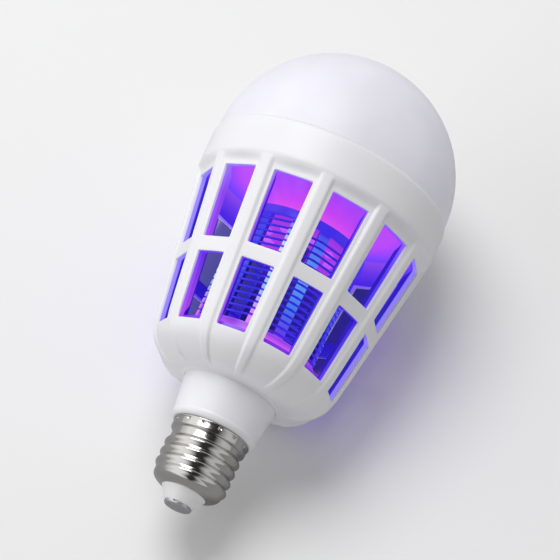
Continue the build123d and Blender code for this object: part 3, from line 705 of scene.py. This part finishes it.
# Screw shell with the rolled thread, the crimp dimples and the flared rim, in millimetres and degrees
capShell = {
    "foot": (  # from the hole for the insulator out to the thread, as (radius, height)
        (7.3, 6.3), (7.3, 5.6), (7.6, 5.56), (8.0, 5.62), (9.2, 6.1), (10.3, 6.62), (11.0, 7.05),
        (11.55, 7.5), (11.9, 7.95), (12.08, 8.4),
    ),
    "rootRadius": 12.15,
    "crestRadius": 13.1,
    "pitch": 3.629,
    "turns": 3.95,
    "threadStart": 8.8,
    "threadAzimuth": -90,
    "threadFade": 0.22,  # turns over which the thread rises and dies away
    "crestPower": 0.8,  # under 1 makes the crest fuller than the root
    "threadEnd": 24.25,
    "threadParts": 74,
    "shoulder": ((12.27, 24.42), (12.6, 24.58), (13.0, 24.75), (13.2, 25.0)),  # out to the band
    "bandRadius": 13.25,
    "bandHeights": (25.25, 27.2),
    "bandParts": 13,
    "rim": (
        (13.35, 27.36), (13.52, 27.52), (13.6, 27.75), (13.52, 28.0), (13.33, 28.16), (13.0, 28.2),
        (12.65, 28.2),
    ),
    "inside": ((12.65, 25.2), (11.55, 24.4), (11.55, 8.7), (10.6, 7.5), (8.0, 6.3), (7.3, 6.3)),
    "dimples": 14,
    "dimpleAzimuth": -30.3,
    "dimpleHeight": 26.95,
    "dimpleRadius": 0.62,
    "dimpleDepth": 0.42,
    "around": 256,
    "smoothAngle": 45,
}


# heights from low to high, both kept, in even steps
def steps(low, high, count):
    return [low + (high - low) * step / count for step in range(count + 1)]


def smoothStep(value):
    value = min(max(value, 0), 1)
    return value * value * (3 - 2 * value)


# how far the rolled thread stands out of its root at a place on the shell
def threadHeight(angle, height):
    fade = capShell["threadFade"]
    turned = (math.degrees(angle) - capShell["threadAzimuth"]) % 360 / 360
    phase = (height - capShell["threadStart"]) / capShell["pitch"] - turned
    turn = turned + round(phase)
    share = smoothStep(turn / fade) * smoothStep((capShell["turns"] - turn) / fade)
    crest = capShell["crestRadius"] - capShell["rootRadius"]
    wave = 0.5 + 0.5 * math.cos(math.tau * (phase - round(phase)))
    return share * crest * wave ** capShell["crestPower"]


# how far the band is pressed in by the nearest crimp dimple
def dimpleDrop(angle, height):
    apart = 360 / capShell["dimples"]
    off = (math.degrees(angle) - capShell["dimpleAzimuth"]) % apart
    off = min(off, apart - off)
    across = math.radians(off) * capShell["bandRadius"]
    far = math.hypot(across, height - capShell["dimpleHeight"]) / capShell["dimpleRadius"]
    return capShell["dimpleDepth"] * max(0.0, 1 - far * far)


def makeCapShell():
    near = 0.02
    root, band = capShell["rootRadius"], capShell["bandRadius"]
    profile = list(capShell["foot"])
    thread = steps(capShell["threadStart"], capShell["threadEnd"], capShell["threadParts"])
    profile += [(root, height) for height in thread]
    profile += capShell["shoulder"]
    profile += [(band, height) for height in steps(*capShell["bandHeights"], capShell["bandParts"])]
    profile += capShell["rim"] + capShell["inside"]
    bm = bmesh.new()
    spinProfile(bm, profile, capShell["around"])
    for vert in bm.verts:
        radius = math.hypot(vert.co.x, vert.co.y)
        angle = math.atan2(vert.co.y, vert.co.x)
        outward = 0.0
        if radius > root - near and vert.co.z < capShell["threadEnd"] + near:
            outward = threadHeight(angle, vert.co.z)
        elif radius > band - near:
            outward = -dimpleDrop(angle, vert.co.z)
        scale = (radius + outward) / radius
        vert.co.x *= scale
        vert.co.y *= scale
    finishPiece(bm, "rolled_cap_shell", "shell_metal", ["screw_shell"], capShell["smoothAngle"])


makeCapShell()
print("cap shell made")


# Cage: twelve columns of two windows, soft ribs that thin out over the shoulder, collar and inner wall,
# in millimetres
cageShape = {
    "columns": 12,
    "neckSeat": ((17.0, 45.4), (16.92, 44.2), (16.78, 43.0), (16.95, 43.35), (17.3, 43.72), (17.9, 43.95)),
    "shoulder": ((18.8, 44.06), (24.8, 45.1), (31.0, 50.3), (33.6, 57.5)),
    "shoulderParts": 5,
    "shoulderFineParts": 40,  # to look radii up at a height
    "shoulderGap": 0.5,  # under the row at the windows' foot
    "ribFoot": (33.6, 57.5),
    "collarFoot": (42.8, 113.2),
    "collar": (
        (42.93, 113.5), (43.05, 113.85), (43.1, 114.8), (43.19, 118.0), (43.3, 122.0), (43.4, 125.2),
        (43.36, 125.9), (43.2, 126.5), (42.9, 127.0), (42.6, 127.2), (42.4, 127.3),
    ),
    "collarInside": ((41.4, 127.3), (41.4, 123.5), (41.4, 119.6), (39.5, 119.6)),
    "footInside": ((26.5, 54.5), (26.5, 52.3), (26.4, 49.4), (23.2, 46.0), (17.0, 46.0)),
    "panelFoot": (31.95, 54.3),
    "panelSlope": 0.1516,
    "wall": 2.0,
    "wallRise": 0.15,  # inner rows lie higher by this share of the wall, because the columns lean
    "ribWidth": (2.2, 3.0),  # flat part of the crest at the two heights below
    "ribHeights": (50.0, 113.2),
    "ribSide": 1.35,
    "windowSide": 2.3,  # from the crest's edge to the window
    "sideStops": (0.4, 0.8, 1.05, 1.35, 1.65, 1.95, 2.3),
    "crestStops": (0.6, 0.25, 0.0),  # shares of half the crest, from the middle of the rib
    "windows": ((54.3, 77.9), (83.1, 109.0)),
    "windowParts": 4,  # parts across half a window
    "windowRows": 9,
    "barRows": 4,
    "recessRows": (109.8, 110.5, 111.1, 111.7, 112.2, 112.7),
    "windowCorner": 0.5,
    "windowEdge": 0.3,
    "roundSegments": 3,
    "shoulderDepth": 0.6,
    "shoulderFade": (19.0, 25.5),
    "shoulderEnd": (57.0, 67.0),
    "panelStart": 50,  # no flat column under this height
    "blend": 0.2,  # softness where the flat columns run into the shoulder
    "uprightRise": (48, 54),  # recesses turn from square to the surface to square to the axis
    "recessEnd": (110.4, 113.4),
    "ribInside": 1.2,
    "deepRib": (57.0, 107.5),
    "deepRibFade": 1.5,
    "sharpAngle": 50,
    "smoothAngle": 40,
}


def panelRadius(height):
    foot, low = cageShape["panelFoot"]
    return foot + cageShape["panelSlope"] * (height - low)


# share of the way from the first to the second of two limits, eased at both ends
def easedShare(value, limits):
    return smoothStep((value - limits[0]) / (limits[1] - limits[0]))


# a smooth line through four or more points, in the given number of parts between each two
def smoothLine(points, parts):
    line = []
    padded = [points[0]] + list(points) + [points[-1]]
    for index in range(len(points) - 1):
        before, start, end, after = (Vector(p) for p in padded[index:index + 4])
        for part in range(parts):
            t = part / parts
            line.append(0.5 * (
                2 * start + (end - before) * t + (2 * before - 5 * start + 4 * end - after) * t ** 2
                + (3 * start - before - 3 * end + after) * t ** 3
            ))
    return [tuple(p) for p in line]


# the crest's section from the neck hole up to the collar's rim, as (radius, height)
def cageOutside():
    (ribRadius, ribLow), (collarRadius, collarLow) = cageShape["ribFoot"], cageShape["collarFoot"]
    slope = (collarRadius - ribRadius) / (collarLow - ribLow)
    (lowFoot, lowTop), (highFoot, highTop) = cageShape["windows"]
    shoulder = smoothLine(cageShape["shoulder"], cageShape["shoulderParts"])
    shoulder = [point for point in shoulder if point[1] < lowFoot - cageShape["shoulderGap"]]
    curve = smoothLine(cageShape["shoulder"], cageShape["shoulderFineParts"])
    rows, barRows = cageShape["windowRows"], cageShape["barRows"]
    heights = steps(lowFoot, lowTop, rows) + steps(lowTop, highFoot, barRows)[1:]
    heights += steps(highFoot, highTop, rows)[1:] + list(cageShape["recessRows"])
    line = list(cageShape["neckSeat"]) + shoulder
    for height in heights:
        if height < ribLow:
            radius = min(curve, key=lambda point: abs(point[1] - height))[0]
        else:
            radius = ribRadius + slope * (height - ribLow)
        line.append((radius, height))
    return line + [cageShape["collarFoot"]] + list(cageShape["collar"])


# the section inside, from the rim down to the seat round the neck, beside the same window rows
def cageInside(windowHeights):
    wall, collarLow = cageShape["wall"], cageShape["collarFoot"][1]
    line = list(cageShape["collarInside"]) + [(panelRadius(collarLow) - wall, collarLow)]
    rise = cageShape["wallRise"] * wall
    line += [(panelRadius(height) - wall, height + rise) for height in reversed(windowHeights)]
    return line + list(cageShape["footInside"])


# where the grid's columns lie across half a column of windows, as distances from its middle
def halfStops(height):
    height = max(height, cageShape["panelFoot"][1])
    narrow, wide = cageShape["ribWidth"]
    low, high = cageShape["ribHeights"]
    crest = (narrow + (wide - narrow) * (height - low) / (high - low)) / 2
    middle = panelRadius(height) * math.tan(math.pi / cageShape["columns"])
    window = middle - crest - cageShape["windowSide"]
    stops = steps(0, window, cageShape["windowParts"])
    stops += [window + out for out in cageShape["sideStops"]]
    stops += [middle - crest * share for share in cageShape["crestStops"]]
    return stops, crest, middle


# how deep the outside lies under the crest line at one place
def cageDepth(radius, height, across, crest, middle):
    angle = math.atan2(across, panelRadius(max(height, cageShape["panelFoot"][1])))
    shoulder = cageShape["shoulderDepth"] * easedShare(radius, cageShape["shoulderFade"])
    shoulder *= 1 - easedShare(height, cageShape["shoulderEnd"])
    panel = -1.0
    if height > cageShape["panelStart"]:
        panel = max(panel, radius - panelRadius(height) / math.cos(angle))
    deeper = 0.5 * (panel + shoulder + math.hypot(panel - shoulder, cageShape["blend"]))
    side = smoothStep((middle - crest - abs(across)) / cageShape["ribSide"])
    return max(deeper, 0) * side * (1 - easedShare(height, cageShape["recessEnd"]))


def makeCage():
    near = 0.1  # rows this close to a window belong to it
    outside = cageOutside()
    foot, head = cageShape["windows"][0][0] - near, cageShape["windows"][1][1] + near
    windowRows = [row for row, (_, height) in enumerate(outside) if foot < height < head]
    inside = cageInside([outside[row][1] for row in windowRows])
    rows = outside + inside
    lowestInside = len(rows) - len(cageShape["footInside"]) - 1
    innerRow = {row: lowestInside - index for index, row in enumerate(windowRows)}
    innerRows = set(innerRow.values())
    half = len(halfStops(foot)[0]) - 1
    span = 2 * half
    around = cageShape["columns"] * span
    windowParts = cageShape["windowParts"]
    bm = bmesh.new()
    bmesh.ops.create_grid(bm, x_segments=around, y_segments=len(rows), size=1)
    columnLayer = bm.verts.layers.int.new("column")
    rowLayer = bm.verts.layers.int.new("row")
    for vert in bm.verts:
        column = round((vert.co.x + 1) / 2 * around)
        row = round((vert.co.y + 1) / 2 * len(rows)) % len(rows)
        vert[columnLayer], vert[rowLayer] = column, row
        radius, height = rows[row]
        stops, crest, middle = halfStops(height)
        step = column % span - half
        across = math.copysign(stops[abs(step)], step)
        sector = math.tau / cageShape["columns"] * (column // span)
        angle = sector + math.atan2(across, panelRadius(max(height, cageShape["panelFoot"][1])))
        if len(cageShape["neckSeat"]) <= row < len(outside):  # outside, past the seat of the neck
            depth = cageDepth(radius, height, across, crest, middle)
            before, after = Vector(rows[row - 1]), Vector(rows[row + 1])
            run = (after - before).normalized()
            upright = easedShare(height, cageShape["uprightRise"])
            normal = Vector((run.y, -run.x)).lerp(Vector((1, 0)), upright).normalized()
            radius, height = radius - normal.x * depth, height - normal.y * depth
        elif row in innerRows and abs(step) >= windowParts:  # inner side of a rib
            low, high = cageShape["deepRib"]
            fade = cageShape["deepRibFade"]
            share = easedShare(height, (low, low + fade)) * (1 - easedShare(height, (high, high + fade)))
            radius -= cageShape["ribInside"] * share
        vert.co = (radius * math.cos(angle), radius * math.sin(angle), height)
    openRows = []
    for low, high in cageShape["windows"]:
        inWindow = [row for row in windowRows if low - near < outside[row][1] < high + near]
        openRows.append((inWindow[0], inWindow[-1]))
    cutWindows(bm, half, span, columnLayer, rowLayer, openRows, innerRow)
    bmesh.ops.recalc_face_normals(bm, faces=bm.faces)
    roundCorners(bm, half, span, columnLayer, rowLayer, openRows)
    sharpAngle = math.radians(cageShape["sharpAngle"])
    sharp = [edge for edge in bm.edges if edge.is_manifold and edge.calc_face_angle(0) > sharpAngle]
    roundEdges(bm, sharp, cageShape["windowEdge"])
    print("cage mesh:", len(bm.faces), "faces, open edges", sum(1 for e in bm.edges if not e.is_manifold))
    finishPiece(bm, "soft_ribbed_cage", "cage_plastic", ["cage"], cageShape["smoothAngle"])


# opens the windows in both walls, closes the seam and joins the walls round each window
def cutWindows(bm, half, span, columnLayer, rowLayer, openRows, innerRow):
    windowParts = cageShape["windowParts"]
    seamDistance = 0.0005
    holes = []
    for face in bm.faces:
        column = min(vert[columnLayer] for vert in face.verts) % span
        faceRows = [vert[rowLayer] for vert in face.verts]
        if max(faceRows) - min(faceRows) > 1 or not half - windowParts <= column < half + windowParts:
            continue
        for low, high in openRows:
            if low <= min(faceRows) < high or innerRow[high] <= min(faceRows) < innerRow[low]:
                holes.append(face)
    bmesh.ops.delete(bm, geom=holes, context="FACES")
    bmesh.ops.remove_doubles(bm, verts=bm.verts, dist=seamDistance)
    for sector in range(cageShape["columns"]):
        middle = sector * span + half
        for low, high in openRows:
            loop = []
            for edge in bm.edges:
                if not edge.is_boundary:
                    continue
                if any(abs(vert[columnLayer] - middle) > windowParts for vert in edge.verts):
                    continue
                edgeRows = [vert[rowLayer] for vert in edge.verts]
                outer = all(low <= row <= high for row in edgeRows)
                inner = all(innerRow[high] <= row <= innerRow[low] for row in edgeRows)
                if outer or inner:
                    loop.append(edge)
            bmesh.ops.bridge_loops(bm, edges=loop)


# rounds the four upright corners of each window, where its jambs meet its foot and its head
def roundCorners(bm, half, span, columnLayer, rowLayer, openRows):
    corners = []
    ends = {row for pair in openRows for row in pair}
    for edge in bm.edges:
        first, second = edge.verts
        if abs(first[rowLayer] - second[rowLayer]) < 3:
            continue  # both ends lie in the same wall
        outer = min(edge.verts, key=lambda vert: vert[rowLayer])
        atJamb = abs(outer[columnLayer] % span - half) == cageShape["windowParts"]
        if outer[rowLayer] in ends and atJamb:
            corners.append(edge)
    roundEdges(bm, corners, cageShape["windowCorner"])
    print("window corners rounded:", len(corners))


def roundEdges(bm, edges, radius):
    bmesh.ops.bevel(
        bm, geom=edges, offset=radius, offset_type="OFFSET", segments=cageShape["roundSegments"],
        profile=0.5, affect="EDGES", clamp_overlap=True, material=-1,
    )


makeCage()
